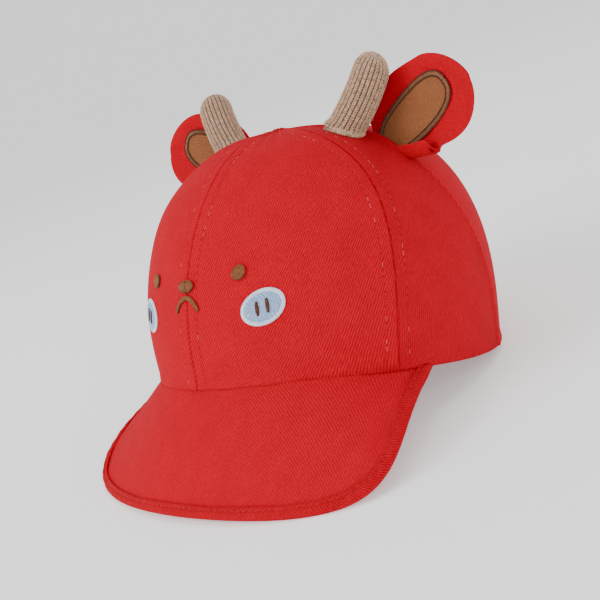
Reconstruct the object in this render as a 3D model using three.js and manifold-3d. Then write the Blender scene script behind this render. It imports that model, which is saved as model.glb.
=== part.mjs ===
import * as THREE from "three";
import { mergeVertices } from "three/addons/utils/BufferGeometryUtils.js";
import Module from "manifold-3d";

const wasm = await Module();
wasm.setup();

// A baby's cap of red cotton twill, in millimetres: six crown panels, a soft peak with a bound
// edge, two knitted horns, two cupped ears and an embroidered face. The front of the cap looks
// towards -Y, the wearer's left is +X, and turns are degrees round the crown from its front.

// Crown: its opening, measured over the cloth, and its dome.
const crownHalfWidth = 72;
const crownHalfLength = 80.7;
const crownHeight = 98.7;
const apexForward = 12;
const apexRun = 1.54;
const crownBelly = 0.04;
const rimArch = 4.5;
const rimBackLift = 1.9;
const panelWall = 1.2;
const panelFlatness = 1;
const apexOpening = 2.5;

// How the dome closes towards its top and how it climbs: 1 is round, less is fuller.
const domeProfiles = {
  front: { closing: 0.96, climbing: 1.2 },
  side: { closing: 0.85, climbing: 0.635 },
  back: { closing: 0.405, climbing: 0.41 },
};

// Seams of one half: their turn at the rim, how far they lean as they climb, and at the apex.
const seams = [
  { rimTurn: 0, lean: 0, apexTurn: 0 },
  { rimTurn: 63.5, lean: 17.1, apexTurn: 68 },
  { rimTurn: 112, lean: -16, apexTurn: 112 },
  { rimTurn: 180, lean: 0, apexTurn: 180 },
];
const seamSettle = 4;

// Gap kept between neighbours.
const gap = 0.3;

// Peak: the turn where it leaves the rim, its length down the middle and its slopes in degrees.
const peakTurn = 74.7;
const peakLength = 49.5;
const peakSideGain = 0.32;
const peakCorner = 4.7;
const peakEnd = 1.63;
const peakMiddleSlope = 61.4;
const peakSideRelief = 40.6;
const peakRelief = 1.95;
const peakCurl = 8.1;
const peakFan = 0.94;
const peakFanLoss = 0.67;
const peakThickness = 2;

// Bound edge of the peak: a folded tape that wraps it.
const tapeWidth = 5;
const tapeWall = 0.9;
const tapeClearance = 0.6;

// Horns: a padded knitted tube with a lip at its foot.
const hornRadius = 7.4;
const hornLip = 1.1;
const hornLipHeight = 3;
const hornBow = -1.4;
const hornFootX = 32.3;
const hornFootY = -7.3;
const hornLean = 30.8;
const hornBack = 13.4;
const hornLength = 33;

// Ears: a leaf of doubled cloth behind each horn. Its widths run over the cloth from its middle
// line, and near the foot its lower edge is folded forward.
const earLength = 51.5;
const earUpperWidth = 17.5;
const earLowerWidth = 24.4;
const earThickness = 2.4;
const earWidest = 0.62;
const earForwardBend = 5;
const earFootX = 37.4;
const earBehindHorn = 8;
const earFootY = hornFootY + hornRadius + earBehindHorn;
const earRise = 2.05;
const earLift = 11.9;
const earSunk = 0.05;
const earFold = { flap: 7.2, taken: 5.8, turn: 150, over: 4, start: 0.48, end: 0.57 };

// The two edges of an ear: how wide its foot is and how soon it widens, how blunt its end is and
// how far it curls forward.
const earEdges = {
  upper: { width: earUpperWidth, footShare: 0.3, widening: 4, bluntness: 1.65, footCurl: 18 },
  lower: { width: earLowerWidth, footShare: 0.72, widening: 2, bluntness: 2.5, footCurl: 15 },
};
const earTipCurl = 12;
const earUncurling = 0.7;

// The brown patch on an ear's open face, an oval turned from the ear's middle line.
const patchCentre = 0.4;
const patchAside = -2.3;
const patchLength = 42;
const patchWidth = 19.4;
const patchEgg = 0.06;
const patchBluntness = 2.5;
const patchTurn = 17.3;
const patchWall = 0.8;

// Embroidery on the front panels, raised on the cloth.
const stitchWall = 0.8;
const eye = { turn: 21.5, climb: 29.4, halfWidth: 2.9, halfHeight: 3.1 };
const cheek = { turn: 28, climb: 19.5, halfWidth: 9.2, halfHeight: 6.9 };
const nose = { turn: 0, climb: 28.8, halfWidth: 4, halfHeight: 2.7 };
const mouth = { climb: 26, halfWidth: 6, drop: 5, bow: 1.4, thread: 1.8 };

// How deep the cloth is pressed flat where the cap rests.
const restFlat = 0.5;

const degrees = Math.PI / 180;
const mix = THREE.MathUtils.lerp;
const up = new THREE.Vector3(0, 0, 1);

function rimHeight(turn) {
  return rimArch * Math.cos(2 * turn * degrees) - rimBackLift * Math.cos(3 * turn * degrees);
}

function profileAt(turn, key) {
  const forward = Math.cos(turn * degrees);
  const end = forward > 0 ? domeProfiles.front : domeProfiles.back;
  return mix(domeProfiles.side[key], end[key], forward * forward);
}

// A point of the plain dome before the cloth lies flatter between its seams.
function domePoint(turn, climb) {
  const rise = Math.sin(climb * degrees) ** profileAt(turn, "climbing");
  const belly = 1 + crownBelly * Math.sin(Math.PI * rise);
  const reach = Math.cos(climb * degrees) ** profileAt(turn, "closing") * belly;
  return new THREE.Vector3(
    crownHalfWidth * Math.sin(turn * degrees) * reach,
    -crownHalfLength * Math.cos(turn * degrees) * reach - apexForward * rise ** apexRun,
    mix(rimHeight(turn), crownHeight, rise),
  );
}

// The climb at which the panels stop, short of the apex.
function topClimb(turn) {
  const reach = apexOpening / crownHalfWidth;
  return Math.acos(reach ** (1 / profileAt(turn, "closing"))) / degrees;
}

function domeNormal(turn, climb) {
  const step = 0.2;
  const low = Math.max(climb - step, 0);
  const round = domePoint(turn + step, climb).sub(domePoint(turn - step, climb));
  const climbing = domePoint(turn, Math.min(climb + step, 90)).sub(domePoint(turn, low));
  return round.cross(climbing).normalize();
}

function seamTurn(seam, climb) {
  const height = Math.sin(climb * degrees);
  return mix(seam.rimTurn + seam.lean * height, seam.apexTurn, height ** seamSettle);
}

// How far the cloth lies inside the dome at a turn, from nothing at a seam to most midway.
function flatness(turn, climb) {
  const around = Math.abs(turn);
  const next = seams.findIndex((seam, i) => i > 0 && around <= seamTurn(seam, climb));
  const panel = next < 0 ? seams.length - 1 : next;
  const start = seamTurn(seams[panel - 1], climb);
  const share = (around - start) / (seamTurn(seams[panel], climb) - start);
  return panelFlatness * Math.sin(Math.PI * share) ** 2 * Math.cos(climb * degrees);
}

// A point of the crown's cloth, "out" millimetres outside its outer face.
function clothPoint(turn, climb, out = 0) {
  const lift = out - flatness(turn, climb);
  return domePoint(turn, climb).addScaledVector(domeNormal(turn, climb), lift);
}

// The cloth straight over a place seen from above.
function clothOver(x, y) {
  let turn = Math.atan2(x / crownHalfWidth, -y / crownHalfLength) / degrees;
  let climb = 60;
  for (let pass = 0; pass < 40; pass += 1) {
    const here = clothPoint(turn, climb);
    const step = 0.5;
    const round = clothPoint(turn + step, climb).sub(here).divideScalar(step);
    const climbing = clothPoint(turn, climb - step).sub(here).divideScalar(-step);
    const missX = x - here.x;
    const missY = y - here.y;
    const size = round.x * climbing.y - round.y * climbing.x;
    turn += (missX * climbing.y - missY * climbing.x) / size;
    climb += (round.x * missY - round.y * missX) / size;
    climb = THREE.MathUtils.clamp(climb, 5, 85);
  }
  return { turn, climb };
}

// Turns a list of points and triangles into a geometry whose faces point out.
function closedGeometry(points, triangles) {
  let volume = 0;
  for (let i = 0; i < triangles.length; i += 3) {
    const [a, b, c] = [0, 1, 2].map((k) => points[triangles[i + k]]);
    volume += a.dot(new THREE.Vector3().crossVectors(b, c));
  }
  const geometry = new THREE.BufferGeometry().setFromPoints(points);
  geometry.setIndex(volume < 0 ? [...triangles].reverse() : triangles);
  return geometry;
}

// A closed wall between two faces, each a grid of points worked out by pointAt.
function wall(columns, rows, pointAt) {
  const points = [];
  for (const inner of [0, 1])
    for (let row = 0; row <= rows; row += 1)
      for (let column = 0; column <= columns; column += 1)
        points.push(pointAt(column / columns, row / rows, inner));
  const triangles = [];
  const index = (column, row, inner) => (inner * (rows + 1) + row) * (columns + 1) + column;
  const quad = (a, b, c, d) => triangles.push(a, b, c, a, c, d);
  for (let row = 0; row < rows; row += 1)
    for (let column = 0; column < columns; column += 1) {
      const [right, above] = [column + 1, row + 1];
      quad(index(column, row, 0), index(right, row, 0), index(right, above, 0), index(column, above, 0));
      quad(index(column, above, 1), index(right, above, 1), index(right, row, 1), index(column, row, 1));
    }
  for (let row = 0; row < rows; row += 1)
    for (const [column, a, b] of [[0, row, row + 1], [columns, row + 1, row]])
      quad(index(column, a, 0), index(column, b, 0), index(column, b, 1), index(column, a, 1));
  for (let column = 0; column < columns; column += 1)
    for (const [row, a, b] of [[0, column + 1, column], [rows, column, column + 1]])
      quad(index(a, row, 0), index(b, row, 0), index(b, row, 1), index(a, row, 1));
  return closedGeometry(points, triangles);
}

// A solid swept through rings of points that share one flat outline.
function sweep(rings, outline) {
  const count = outline.length;
  const triangles = [];
  for (let ring = 0; ring + 1 < rings.length; ring += 1)
    for (let k = 0; k < count; k += 1) {
      const [a, b] = [ring * count + k, ring * count + ((k + 1) % count)];
      triangles.push(a, b, b + count, a, b + count, a + count);
    }
  const last = (rings.length - 1) * count;
  for (const [a, b, c] of THREE.ShapeUtils.triangulateShape(outline, [])) {
    triangles.push(a, c, b);
    triangles.push(last + a, last + b, last + c);
  }
  return closedGeometry(rings.flat(), triangles);
}

function solidOf(geometry) {
  return new wasm.Manifold(
    new wasm.Mesh({
      numProp: 3,
      vertProperties: geometry.getAttribute("position").array,
      triVerts: new Uint32Array(geometry.index.array),
    }),
  );
}

function subtract(geometry, cutter) {
  const { vertProperties, triVerts } = solidOf(geometry).subtract(cutter).getMesh();
  const cut = new THREE.BufferGeometry();
  cut.setAttribute("position", new THREE.BufferAttribute(vertProperties, 3));
  return cut.setIndex(new THREE.BufferAttribute(triVerts, 1));
}

// One crown panel between two seams, a cloth wall from the rim to just short of the apex.
function panelGeometry(start, end, sign) {
  const columns = 9;
  const rows = 13;
  return wall(columns, rows, (across, height, inner) => {
    const middle = (start.apexTurn + end.apexTurn) / 2;
    const climb = (topClimb(middle) * (1 - Math.cos(Math.PI * height))) / 2;
    const inset = (seam) => {
      const turn = seamTurn(seam, climb);
      const perDegree = domePoint(turn + 0.5, climb).distanceTo(domePoint(turn - 0.5, climb));
      return gap / 2 / perDegree;
    };
    const from = seamTurn(start, climb) + inset(start);
    const to = seamTurn(end, climb) - inset(end);
    return clothPoint(sign * mix(from, to, across), climb, inner ? -panelWall : 0);
  });
}

// The crown's outer form and the gap round it, which the horns, ears and patches are cut to.
function crownClearance() {
  const columns = 96;
  const rows = 30;
  const points = [];
  for (let row = 0; row <= rows; row += 1)
    for (let column = 0; column < columns; column += 1) {
      const turn = (360 * column) / columns - 180;
      const share = (1 - Math.cos((Math.PI * row) / rows)) / 2;
      points.push(clothPoint(turn, topClimb(turn) * share, gap));
    }
  const floor = points.push(new THREE.Vector3()) - 1;
  const apex = points.push(domePoint(0, 90).addScaledVector(up, gap)) - 1;
  const triangles = [];
  for (let column = 0; column < columns; column += 1) {
    const next = (column + 1) % columns;
    for (let row = 0; row < rows; row += 1) {
      const [low, high] = [row * columns, (row + 1) * columns];
      triangles.push(low + column, low + next, high + next);
      triangles.push(low + column, high + next, high + column);
    }
    triangles.push(floor, next, column);
    triangles.push(apex, rows * columns + column, rows * columns + next);
  }
  return solidOf(closedGeometry(points, triangles));
}

// Length of the peak from the rim to its edge; "across" runs from -1 to 1 between its corners.
function peakReach(across) {
  const along = Math.abs(across);
  const taper = (1 - Math.min(along, 1) ** peakCorner) ** (1 / peakEnd);
  return peakLength * (1 + peakSideGain * along * along) * taper;
}

// A point of the peak's upper face, "reach" millimetres from the rim.
function peakPoint(across, reach) {
  const along = Math.abs(across);
  const turn = peakTurn * across;
  const heading = turn * (peakFan - peakFanLoss * along * along) * degrees;
  const curl = peakCurl * (reach / peakLength - 0.5);
  const slope = (peakMiddleSlope - peakSideRelief * along ** peakRelief + curl) * degrees;
  const forward = new THREE.Vector3(Math.sin(heading), -Math.cos(heading), 0);
  return domePoint(turn, 0)
    .addScaledVector(forward, reach * Math.cos(slope))
    .addScaledVector(up, -reach * Math.sin(slope));
}

function peakNormal(across, reach) {
  const step = 0.004;
  const sideways = peakPoint(across + step, reach).sub(peakPoint(across - step, reach));
  const outward = peakPoint(across, reach + 1).sub(peakPoint(across, Math.max(reach - 1, 0)));
  return outward.cross(sideways).normalize();
}

// The frame of the bound edge: its direction, the way in along the peak, and the way up.
function edgeFrame(share) {
  const spread = (value) => Math.sin((THREE.MathUtils.clamp(value, -1, 1) * Math.PI) / 2);
  const edge = (value) => peakPoint(spread(value), peakReach(spread(value)));
  const step = 0.01;
  const point = edge(share);
  const along = edge(share + step).sub(edge(share - step)).normalize();
  const across = spread(share);
  const normal = peakNormal(across, peakReach(across));
  normal.addScaledVector(along, -normal.dot(along)).normalize();
  const inward = new THREE.Vector3().crossVectors(normal, along).normalize();
  return { point, along, inward, normal };
}

// Slides a corner of the tape's end along the tape until it lies a gap under the rim.
function reachRim(corner, along) {
  for (let pass = 0; pass < 6; pass += 1) {
    const turn = Math.atan2(corner.x / crownHalfWidth, -corner.y / crownHalfLength) / degrees;
    corner.addScaledVector(along, (rimHeight(turn) - gap - corner.z) / along.z);
  }
}

function peakGeometry() {
  const columns = 34;
  const rows = 6;
  const inset = tapeWall + tapeClearance;
  const cornerShare = 0.8;
  const leastWidth = tapeWidth * cornerShare;
  const room = (across) => {
    const share = Math.asin(across) / (Math.PI / 2);
    const { along } = edgeFrame(share);
    const reach = peakReach(across);
    const ray = peakPoint(across, reach).sub(peakPoint(across, reach - 1)).normalize();
    return reach - inset / Math.max(ray.cross(along).length(), 0.1);
  };
  let last = 1;
  while (room(last) < leastWidth) last -= 0.002;
  return wall(columns, rows, (share, out, inner) => {
    const across = last * Math.sin(mix(-1, 1, share) * (Math.PI / 2));
    const slope = Math.sin((peakMiddleSlope - peakSideRelief * Math.abs(across) ** peakRelief) * degrees);
    const reach = mix(gap / slope, room(across), out);
    const depth = inner ? -peakThickness : 0;
    return peakPoint(across, reach).addScaledVector(peakNormal(across, reach), depth);
  });
}

// The tape's outline: inward along the peak, and up from the middle of its thickness.
function tapeOutline() {
  const channel = peakThickness / 2 + gap;
  const outer = channel + tapeWall;
  const noseSteps = 4;
  const outline = [new THREE.Vector2(tapeWidth, channel), new THREE.Vector2(tapeWidth, outer)];
  for (let step = 0; step <= noseSteps; step += 1) {
    const angle = Math.PI / 2 + (Math.PI * step) / noseSteps;
    outline.push(new THREE.Vector2(outer + outer * Math.cos(angle), outer * Math.sin(angle)));
  }
  outline.push(new THREE.Vector2(tapeWidth, -outer), new THREE.Vector2(tapeWidth, -channel));
  outline.push(new THREE.Vector2(tapeWall, -channel), new THREE.Vector2(tapeWall, channel));
  return outline;
}

function bindingGeometry() {
  const steps = 44;
  const outline = tapeOutline();
  const rings = [];
  for (let step = 0; step <= steps; step += 1) {
    const share = mix(-1, 1, step / steps);
    const reach = peakReach(Math.sin((share * Math.PI) / 2));
    const nearEnd = reach > 0.01 && reach < 2 * tapeWidth;
    if (nearEnd) continue;
    const { point, along, inward, normal } = edgeFrame(share);
    const ring = outline.map(({ x, y }) =>
      point.clone().addScaledVector(inward, x).addScaledVector(normal, y - peakThickness / 2),
    );
    if (step === 0 || step === steps) for (const corner of ring) reachRim(corner, along);
    rings.push(ring);
  }
  return sweep(rings, outline);
}

// A padded tube from inside the crown to its round tip, with a lip where it meets the cloth.
function hornGeometry(sign, clearance) {
  const sides = 14;
  const steps = 12;
  const sunk = 10;
  const place = clothOver(sign * hornFootX, hornFootY);
  const foot = clothPoint(place.turn, place.climb);
  const lean = hornLean * degrees;
  const axis = new THREE.Vector3(sign * Math.sin(lean), Math.sin(hornBack * degrees), Math.cos(lean));
  axis.normalize();
  const bow = new THREE.Vector3().crossVectors(axis, new THREE.Vector3(0, 1, 0)).normalize();
  const depth = new THREE.Vector3().crossVectors(axis, bow);
  const outline = [];
  for (let k = 0; k < sides; k += 1) {
    const angle = (2 * Math.PI * k) / sides;
    outline.push(new THREE.Vector2(Math.cos(angle), Math.sin(angle)));
  }
  const tipStart = hornLength - hornRadius;
  const heights = [-sunk, 0, hornLipHeight / 2, hornLipHeight];
  for (let step = 1; step <= steps / 2; step += 1) heights.push(mix(hornLipHeight, tipStart, step / (steps / 2)));
  for (let step = 1; step <= steps / 2; step += 1)
    heights.push(tipStart + hornRadius * Math.sin((step / (steps / 2)) * 85 * degrees));
  const rings = heights.map((height) => {
    const tip = Math.max(height - tipStart, 0) / hornRadius;
    const lip = hornLip * THREE.MathUtils.clamp(1 - height / hornLipHeight, 0, 1);
    const radius = (hornRadius + lip) * Math.sqrt(Math.max(1 - tip * tip, 0));
    const sway = sign * hornBow * Math.sin((Math.PI * Math.max(height, 0)) / hornLength);
    return outline.map(({ x, y }) =>
      foot
        .clone()
        .addScaledVector(axis, height)
        .addScaledVector(bow, x * radius + sway)
        .addScaledVector(depth, y * radius),
    );
  });
  return subtract(sweep(rings, outline), clearance);
}

// How much of the ear's lower cloth is folded forward at a share of its length.
function earFlap(along) {
  return earFold.flap * (1 - THREE.MathUtils.smoothstep(along, earFold.start, earFold.end));
}

// The ear's width over the cloth, from its middle line to one of its edges.
function earReach(along, edge) {
  const taken = edge === earEdges.lower ? earFold.taken * (1 - earFlap(along) / earFold.flap) : 0;
  const width = edge.width - taken;
  if (along >= earWidest) {
    const share = (along - earWidest) / (1 - earWidest);
    return width * Math.max(1 - share ** edge.bluntness, 0) ** (1 / edge.bluntness);
  }
  const share = 1 - Math.max(along, 0) / earWidest;
  return width * (1 - (1 - edge.footShare) * share ** edge.widening);
}

// A point of the ear's open face, "aside" millimetres over the cloth from its middle line.
function earPoint(sign, along, aside, out) {
  const place = clothOver(sign * earFootX, earFootY);
  const foot = clothPoint(place.turn, place.climb);
  const lift = earLift * degrees;
  const stem = new THREE.Vector3(sign * Math.cos(lift), 0, Math.sin(lift));
  const face = new THREE.Vector3(0, -1, 0);
  const upper = new THREE.Vector3().crossVectors(stem, face).multiplyScalar(-sign);
  const edge = aside > 0 ? earEdges.upper : earEdges.lower;
  const reach = earReach(along, edge);
  const uncurled = THREE.MathUtils.clamp(along, 0, 1) ** earUncurling;
  const curl = mix(edge.footCurl, earTipCurl, uncurled);
  const foldStart = reach - earFlap(along);
  const bendAt = (distance) => {
    const folded = THREE.MathUtils.smoothstep(distance, foldStart, foldStart + earFold.over);
    return (curl * (distance / reach) + (aside > 0 ? 0 : earFold.turn * folded)) * degrees;
  };
  const steps = 16;
  const step = Math.abs(aside) / steps;
  let [level, forward] = [0, 0];
  for (let k = 0; k < steps; k += 1) {
    const bend = bendAt((k + 0.5) * step);
    level += step * Math.cos(bend);
    forward += step * Math.sin(bend);
  }
  const bend = bendAt(Math.abs(aside));
  return foot
    .addScaledVector(up, earRise)
    .addScaledVector(stem, earLength * along)
    .addScaledVector(upper, Math.sign(aside) * (level - out * Math.sin(bend)))
    .addScaledVector(face, forward + out * Math.cos(bend) + earForwardBend * along * along);
}

function earGeometry(sign, clearance) {
  const columns = 16;
  const rows = 11;
  const tip = 0.997;
  const crowding = 1.7;
  const lowerColumns = 11;
  const leaf = wall(columns, rows, (across, height, inner) => {
    const along = mix(tip, -earSunk, (1 - height) ** crowding);
    const column = Math.round(across * columns) - lowerColumns;
    const share = column > 0 ? column / (columns - lowerColumns) : column / lowerColumns;
    const edge = column > 0 ? earEdges.upper : earEdges.lower;
    return earPoint(sign, along, share * earReach(along, edge), inner ? -earThickness : 0);
  });
  return subtract(leaf, clearance);
}

function patchGeometry(sign, clearance) {
  const columns = 8;
  const rows = 10;
  const blunt = 0.985;
  const patch = wall(columns, rows, (across, height, inner) => {
    const share = blunt * Math.sin(mix(-1, 1, height) * (Math.PI / 2));
    const narrowing = (1 - Math.abs(share) ** patchBluntness) ** (1 / patchBluntness);
    const half = (patchWidth / 2) * narrowing * (1 + patchEgg * share);
    const place = new THREE.Vector2((share * patchLength) / 2, mix(-1, 1, across) * half);
    place.rotateAround(new THREE.Vector2(), patchTurn * degrees);
    const along = patchCentre + place.x / earLength;
    return earPoint(sign, along, patchAside + place.y, gap + (inner ? 0 : patchWall));
  });
  return subtract(patch, clearance);
}

// Works in millimetres on the cloth round a place of the face.
function onCloth(place) {
  const step = 0.5;
  const { turn, climb } = place;
  const wide = clothPoint(turn + step, climb).distanceTo(clothPoint(turn - step, climb));
  const tall = clothPoint(turn, climb + step).distanceTo(clothPoint(turn, climb - step));
  return (x, y, out) => clothPoint(turn + x / wide, climb + y / tall, out);
}

// An oval of satin stitch that stands a little proud of the cloth, highest in its middle.
function ovalGeometry(place, sign) {
  const sides = place.halfWidth > 5 ? 24 : 14;
  const rings = 2;
  const crown = 0.25;
  const at = onCloth({ turn: sign * place.turn, climb: place.climb });
  const points = [];
  for (const top of [1, 0]) {
    for (let ring = 1; ring <= rings; ring += 1)
      for (let k = 0; k < sides; k += 1) {
        const share = ring / rings;
        const angle = (2 * Math.PI * k) / sides;
        const out = gap + top * (stitchWall + crown * (1 - share * share));
        points.push(at(place.halfWidth * share * Math.cos(angle), place.halfHeight * share * Math.sin(angle), out));
      }
    points.push(at(0, 0, gap + top * (stitchWall + crown)));
  }
  const layer = rings * sides + 1;
  const triangles = [];
  for (let k = 0; k < sides; k += 1) {
    const next = (k + 1) % sides;
    for (const base of [0, layer]) {
      const flip = (a, b, c) => (base ? triangles.push(a, c, b) : triangles.push(a, b, c));
      flip(base + layer - 1, base + k, base + next);
      for (let ring = 0; ring + 1 < rings; ring += 1) {
        const [low, high] = [base + ring * sides, base + (ring + 1) * sides];
        flip(low + k, high + k, high + next);
        flip(low + k, high + next, low + next);
      }
    }
    const edge = (rings - 1) * sides;
    triangles.push(edge + k, layer + edge + k, layer + edge + next);
    triangles.push(edge + k, layer + edge + next, edge + next);
  }
  return closedGeometry(points, triangles);
}

// Two bowed strokes of satin stitch that meet under the nose.
function mouthGeometry() {
  const steps = 16;
  const at = onCloth({ turn: 0, climb: mouth.climb });
  return wall(steps, 1, (share, side, inner) => {
    const across = mix(-1, 1, share);
    const along = Math.abs(across);
    const bow = mouth.bow * Math.sin(Math.PI * along);
    const middle = -mouth.drop * along + bow;
    const y = middle + mix(-0.5, 0.5, side) * mouth.thread;
    return at(across * mouth.halfWidth, y, gap + (inner ? 0 : stitchWall));
  });
}

const clearance = crownClearance();
const pieces = [];
const colours = { twill: 0xe41222, binding: 0xdc1020, knit: 0xb2917c, patch: 0x8d5536, thread: 0x7a4327, pale: 0xb9cfe4 };
function addPiece(name, geometry, colour, roughness) {
  pieces.push({ name, geometry, colour, roughness });
}

const panelNames = ["front_panel", "side_panel", "back_panel"];
for (const [sign, side] of [[1, "left"], [-1, "right"]]) {
  panelNames.forEach((name, i) => {
    addPiece(`${name}_${side}`, panelGeometry(seams[i], seams[i + 1], sign), colours.twill, 0.9);
  });
  addPiece(`eye_${side}`, ovalGeometry(eye, sign), colours.thread, 0.6);
  addPiece(`cheek_${side}`, ovalGeometry(cheek, sign), colours.pale, 0.6);
  addPiece(`horn_${side}`, hornGeometry(sign, clearance), colours.knit, 0.95);
  addPiece(`ear_${side}`, earGeometry(sign, clearance), colours.twill, 0.9);
  addPiece(`ear_patch_${side}`, patchGeometry(sign, clearance), colours.patch, 0.85);
}
addPiece("nose", ovalGeometry(nose, 1), colours.thread, 0.6);
addPiece("mouth", mouthGeometry(), colours.thread, 0.6);
addPiece("peak", peakGeometry(), colours.twill, 0.9);
addPiece("peak_binding", bindingGeometry(), colours.binding, 0.9);

// The cap tips back until its bound edge and the back of its rim lie on one level.
function lowest(names, tilt) {
  const turned = new THREE.Matrix4().makeRotationX(tilt);
  let height = Infinity;
  for (const { name, geometry } of pieces) {
    if (!names.includes(name)) continue;
    const position = geometry.getAttribute("position");
    for (let i = 0; i < position.count; i += 1) {
      const point = new THREE.Vector3().fromBufferAttribute(position, i).applyMatrix4(turned);
      height = Math.min(height, point.z);
    }
  }
  return height;
}
const frontRest = ["peak_binding"];
const backRest = ["back_panel_left", "back_panel_right"];
let [least, most] = [-60 * degrees, 0];
for (let pass = 0; pass < 40; pass += 1) {
  const middle = (least + most) / 2;
  if (lowest(frontRest, middle) > lowest(backRest, middle)) least = middle;
  else most = middle;
}
const restTilt = (least + most) / 2;
const settle = new THREE.Matrix4().makeRotationX(restTilt);
for (const { geometry } of pieces) geometry.applyMatrix4(settle);
const box = new THREE.Box3();
for (const { geometry } of pieces) box.union(new THREE.Box3().setFromBufferAttribute(geometry.getAttribute("position")));
const middleY = (box.min.y + box.max.y) / 2;
for (const { geometry } of pieces) geometry.translate(0, -middleY, -box.min.z - restFlat);

// The surface that the cap stands on presses the cloth flat where they meet.
const slabSide = 4 * crownHalfLength;
const slabDepth = 10;
const slabBox = new THREE.BoxGeometry(slabSide, slabSide, slabDepth).translate(0, 0, -slabDepth / 2);
slabBox.deleteAttribute("normal");
slabBox.deleteAttribute("uv");
const slab = solidOf(mergeVertices(slabBox));

const cap = new THREE.Group();
for (const { name, geometry, colour, roughness } of pieces) {
  const pressed = [...frontRest, ...backRest].includes(name);
  const material = new THREE.MeshStandardMaterial({ color: colour, roughness, metalness: 0 });
  const mesh = new THREE.Mesh(pressed ? subtract(geometry, slab) : geometry, material);
  mesh.name = name;
  cap.add(mesh);
}
export default cap;
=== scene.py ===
import math

import bpy
import numpy as np
from mathutils import Matrix


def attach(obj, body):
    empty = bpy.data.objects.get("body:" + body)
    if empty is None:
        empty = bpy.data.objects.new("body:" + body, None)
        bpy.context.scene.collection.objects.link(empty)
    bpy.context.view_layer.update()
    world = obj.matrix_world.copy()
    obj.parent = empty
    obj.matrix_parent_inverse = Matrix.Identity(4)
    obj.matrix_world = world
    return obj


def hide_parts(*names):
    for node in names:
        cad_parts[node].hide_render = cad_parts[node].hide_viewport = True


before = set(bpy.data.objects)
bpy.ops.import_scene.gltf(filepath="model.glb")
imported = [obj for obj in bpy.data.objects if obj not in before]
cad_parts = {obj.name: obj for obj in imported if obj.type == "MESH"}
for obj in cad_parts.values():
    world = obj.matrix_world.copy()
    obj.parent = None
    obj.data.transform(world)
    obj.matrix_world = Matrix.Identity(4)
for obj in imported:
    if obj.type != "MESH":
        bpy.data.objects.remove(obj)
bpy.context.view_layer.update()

# Crown: six panels of red cotton twill, sewn edge to edge and topstitched. Their allowances lie
# open underneath and lift the cloth on both sides of each seam. Sizes are millimetres and degrees
# in the cap's own frame, with the rim level, and the settled cap tips back on its peak and rim.
rest_tilt = -15.572
rest_shift = (0.0, 9.23, 15.996)
crown_half_width = 72.0
crown_half_length = 80.7
crown_height = 98.7
apex_forward = 12.0
apex_run = 1.54
crown_belly = 0.04
rim_arch = 4.5
rim_back_lift = 1.9
panel_wall = 1.2
panel_flatness = 1.0
closing = {"front": 0.96, "side": 0.85, "back": 0.405}
climbing = {"front": 1.2, "side": 0.635, "back": 0.41}
seams = [
    {"rim": 0, "lean": 0, "apex": 0},
    {"rim": 63.5, "lean": 17.1, "apex": 68},
    {"rim": 112, "lean": -16, "apex": 112},
    {"rim": 180, "lean": 0, "apex": 180},
]
seam_settle = 4
allowance = 5.0
allowance_raise, allowance_edge = 0.3, 0.6
seam_dip, seam_dip_width = 0.7, 0.4
stitch_press, stitch_press_width = 0.22, 0.5
crease_seam = 2
crease_ridge, crease_ridge_width = 0.75, 1.5
crease_dip, crease_dip_width = 0.5, 0.35
slow_fold, quick_fold = 0.35, 0.25
gather_height, gather_count = 0.4, 23
hem_height, hem_width = 0.7, 2.2
pressed_flat = 0.02


def tip_back(points):
    """Cap-frame millimetres to metres over the surface that the cap rests on."""
    sine, cosine = math.sin(math.radians(rest_tilt)), math.cos(math.radians(rest_tilt))
    x, y, z = np.moveaxis(np.asarray(points, float), -1, 0)
    turned = np.stack([x, cosine * y - sine * z, sine * y + cosine * z], -1)
    return (turned + np.array(rest_shift)) / 1000


def settle(points):
    """The same, with cloth that would reach under the surface pressed flat on it."""
    settled = tip_back(points)
    settled[..., 2] = np.maximum(settled[..., 2], pressed_flat * settled[..., 2])
    return settled


def unit(ways):
    return ways / np.linalg.norm(ways, axis=-1, keepdims=True)


def rim_height(turn):
    return rim_arch * np.cos(2 * np.radians(turn)) - rim_back_lift * np.cos(3 * np.radians(turn))


def profile(turn, shares):
    forward = np.cos(np.radians(turn))
    end = np.where(forward > 0, shares["front"], shares["back"])
    return shares["side"] + (end - shares["side"]) * forward**2


def dome(turn, climb):
    rise = np.sin(np.radians(climb)) ** profile(turn, climbing)
    belly = 1 + crown_belly * np.sin(np.pi * rise)
    reach = np.maximum(np.cos(np.radians(climb)), 0) ** profile(turn, closing) * belly
    x = crown_half_width * np.sin(np.radians(turn)) * reach
    y = -crown_half_length * np.cos(np.radians(turn)) * reach - apex_forward * rise**apex_run
    z = rim_height(turn) + (crown_height - rim_height(turn)) * rise
    return np.stack([x, y, z], -1)


def dome_normal(turn, climb):
    step = 0.2
    round_way = dome(turn + step, climb) - dome(turn - step, climb)
    low, high = np.maximum(climb - step, 0), np.minimum(climb + step, 90)
    return unit(np.cross(round_way, dome(turn, high) - dome(turn, low)))


def seam_turn(seam, climb):
    rise = np.sin(np.radians(climb))
    low = seam["rim"] + seam["lean"] * rise
    return low + (seam["apex"] - low) * rise**seam_settle


def per_degree(turn, climb):
    return np.linalg.norm(dome(turn + 0.5, climb) - dome(turn - 0.5, climb), axis=-1)


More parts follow.
